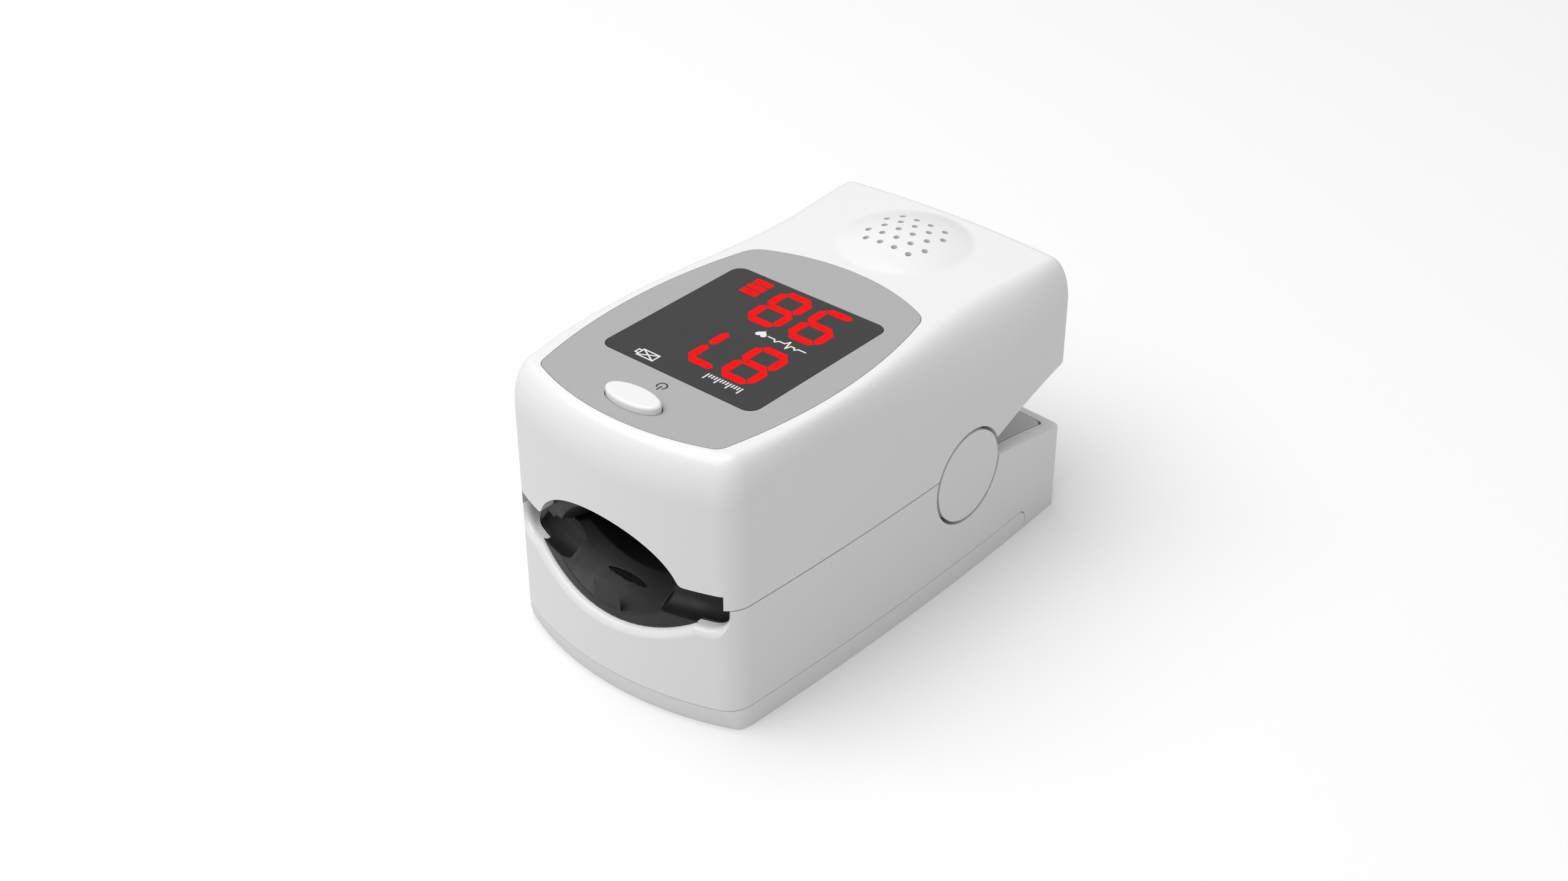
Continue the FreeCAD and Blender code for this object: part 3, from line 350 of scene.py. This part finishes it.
def line(x0, y0, x1, y1, thick):
    """A straight stroke."""
    along = Vector((x1 - x0, y1 - y0)).normalized() * thick / 2
    corners = ((x0, y0, -1, 1), (x1, y1, 1, 1), (x1, y1, 1, -1), (x0, y0, -1, -1))
    return [(x + end * along.x - side * along.y, y + end * along.y + side * along.x)
            for x, y, end, side in corners]


# Two numbers: each digit's lit segments, its left edge and its top on the display.
DIGITS = (("abcdefg", 6.97, -15.23), ("abc", 2.38, -15.23), ("abcdfg", 7.17, -4.97), ("abcdefg", 1.53, -4.97))
BAR_COUNT, BAR_STEP, BAR_WIDE, BAR_TALL = 3, 1.19, 2.38, 0.94
lit = []
for letters, left, top in DIGITS:
    lit += [read_from_hinge(left, top, outline) for outline in digit(letters)]
for place in range(BAR_COUNT):
    lit.append(read_from_hinge(-4.62, -0.90 + BAR_STEP * place, block(0, 0, BAR_WIDE, BAR_TALL)))
plates("display_digits", lit, GLASS - SUNK, GLASS + 0.015 * MM, "display_red", ["display_segments"])

HEART_STEPS, HEART_SCALE = 36, 0.043
heart = []
for step in range(HEART_STEPS):
    angle = 2 * math.pi * step / HEART_STEPS
    across = 16 * math.sin(angle) ** 3
    down = -(13 * math.cos(angle) - 5 * math.cos(2 * angle) - 2 * math.cos(3 * angle) - math.cos(4 * angle))
    heart.append((across * HEART_SCALE, down * HEART_SCALE))
marks = [read_from_hinge(1.07, -6.27, heart)]

THIN = 0.17
CASE_WIDE, CASE_TALL = 2.2, 1.2
NIB_END, NIB_TOP, NIB_FOOT = CASE_WIDE + 0.45, 0.28, 0.92
battery = [
    line(0, 0, CASE_WIDE, 0, THIN), line(0, CASE_TALL, CASE_WIDE, CASE_TALL, THIN),
    line(0, 0, 0, CASE_TALL, THIN), line(CASE_WIDE, 0, CASE_WIDE, CASE_TALL, THIN),
    line(0, 0, CASE_WIDE, CASE_TALL, THIN), line(0, CASE_TALL, CASE_WIDE, 0, THIN),
    line(CASE_WIDE, NIB_TOP, NIB_END, NIB_TOP, THIN), line(CASE_WIDE, NIB_FOOT, NIB_END, NIB_FOOT, THIN),
    line(NIB_END, NIB_TOP, NIB_END, NIB_FOOT, THIN),
]
for stroke in battery:
    marks.append(read_from_hinge(-3.9, -17.73, stroke))
TICK_COUNT, TICK_STEP = 13, 0.38
TALL_TICK, SHORT_TICK, TALL_EVERY = 1.1, 0.6, 4
for place in range(TICK_COUNT):
    tall = SHORT_TICK if place % TALL_EVERY else TALL_TICK
    start = TICK_STEP * place
    marks.append(read_from_hinge(6.9, -15.7, block(start, -tall, start + THIN, 0)))
TRACE = ((0, 0.8), (0.9, 0.8), (1.2, 0.45), (1.5, 0.8), (1.9, 0.8), (2.15, 0.1), (2.5, 1.4), (2.8, 0.8),
         (3.5, 0.8), (3.85, 0.4), (4.2, 0.8), (5.0, 0.8))
for start, end in zip(TRACE, TRACE[1:]):
    marks.append(read_from_hinge(7.0, -7.05, line(*start, *end, THIN)))
# These printed marks glow in painted white light.
for place, outline in enumerate(marks):
    height = (0.008 + 0.0004 * place) * MM
    plates("display_mark_%02d" % place, [outline], GLASS - SUNK, GLASS + height, "print_white")

PLATE_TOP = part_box("faceplate")[1].z
PRINT_TOP = PLATE_TOP + 0.01 * MM
SYMBOL_LEFT, SYMBOL_TOP = 0.25, -20.62
RING, RING_THICK = 0.55, 0.17
OPEN = math.radians(38)
STEPS = 32
ring = []
for radius, order in ((RING + RING_THICK / 2, 1), (RING - RING_THICK / 2, -1)):
    for step in list(range(STEPS + 1))[::order]:
        angle = OPEN + (2 * math.pi - 2 * OPEN) * step / STEPS
        ring.append((radius * math.sin(angle), -radius * math.cos(angle)))
bar = line(0, -0.75, 0, -0.1, RING_THICK)
for name, outline in (("power_symbol_ring", ring), ("power_symbol_bar", bar)):
    placed = read_from_hinge(SYMBOL_LEFT, SYMBOL_TOP, outline)
    plates(name, [placed], PLATE_TOP - SUNK, PRINT_TOP, "print_dark")


# ---------------------------------------------------------------- studio

FLOOR_HALF = 2.0
form = bmesh.new()
bmesh.ops.create_grid(form, x_segments=1, y_segments=1, size=FLOOR_HALF)
mesh = bpy.data.meshes.new("floor")
form.to_mesh(mesh)
form.free()
floor = bpy.data.objects.new("floor", mesh)
floor.location.z = size_at_load[0][2]
bpy.context.scene.collection.objects.link(floor)
paper = finish("white floor", (0.62, 0.62, 0.62, 1), 0.9, patina=0.0, grain=1 * MM, depth=0.001 * MM,
               Specular_IOR_Level=0.0)
mesh.materials.append(seen_brighter(paper, (0.88, 0.88, 0.88, 1)))


KEY_PLACE, KEY_AIM = Vector((-0.18, -0.26, 0.80)), Vector((0, 0, 0.02))
light = bpy.data.lights.new("key", "AREA")
light.shape = "SQUARE"
light.size = 0.9
light.energy = 7.0
key = bpy.data.objects.new("key", light)
key.location = KEY_PLACE
key.rotation_euler = (KEY_AIM - KEY_PLACE).to_track_quat("-Z", "Y").to_euler()
bpy.context.scene.collection.objects.link(key)

world = bpy.context.scene.world or bpy.data.worlds.new("studio")
bpy.context.scene.world = world
world.use_nodes = True
tree = world.node_tree
sky = tree.nodes["Background"]
sky.inputs["Color"].default_value = (1, 1, 1, 1)
sky.inputs["Strength"].default_value = 0.50
backdrop = tree.nodes.new("ShaderNodeBackground")
backdrop.inputs["Color"].default_value = (1, 1, 1, 1)
backdrop.inputs["Strength"].default_value = 1
rays = tree.nodes.new("ShaderNodeLightPath")
choice = tree.nodes.new("ShaderNodeMixShader")
tree.links.new(rays.outputs["Is Camera Ray"], choice.inputs["Fac"])
tree.links.new(sky.outputs["Background"], choice.inputs[1])
tree.links.new(backdrop.outputs["Background"], choice.inputs[2])
tree.links.new(choice.outputs["Shader"], tree.nodes["World Output"].inputs["Surface"])

TARGET = Vector((0.029, -1.499, 16.890)) * MM
AZIMUTH, ELEVATION, DISTANCE = math.radians(40.638), math.radians(33.330), 240.52 * MM
back = Vector((math.sin(AZIMUTH) * math.cos(ELEVATION), -math.cos(AZIMUTH) * math.cos(ELEVATION),
               math.sin(ELEVATION)))
optics = bpy.data.cameras.new("camera")
optics.lens = 50
optics.sensor_width = 36
optics.clip_start = 0.01
camera = bpy.data.objects.new("camera", optics)
camera.location = TARGET + back * DISTANCE
camera.rotation_euler = (-back).to_track_quat("-Z", "Y").to_euler()
bpy.context.scene.collection.objects.link(camera)
bpy.context.scene.camera = camera
bpy.context.scene.view_settings.view_transform = "Standard"
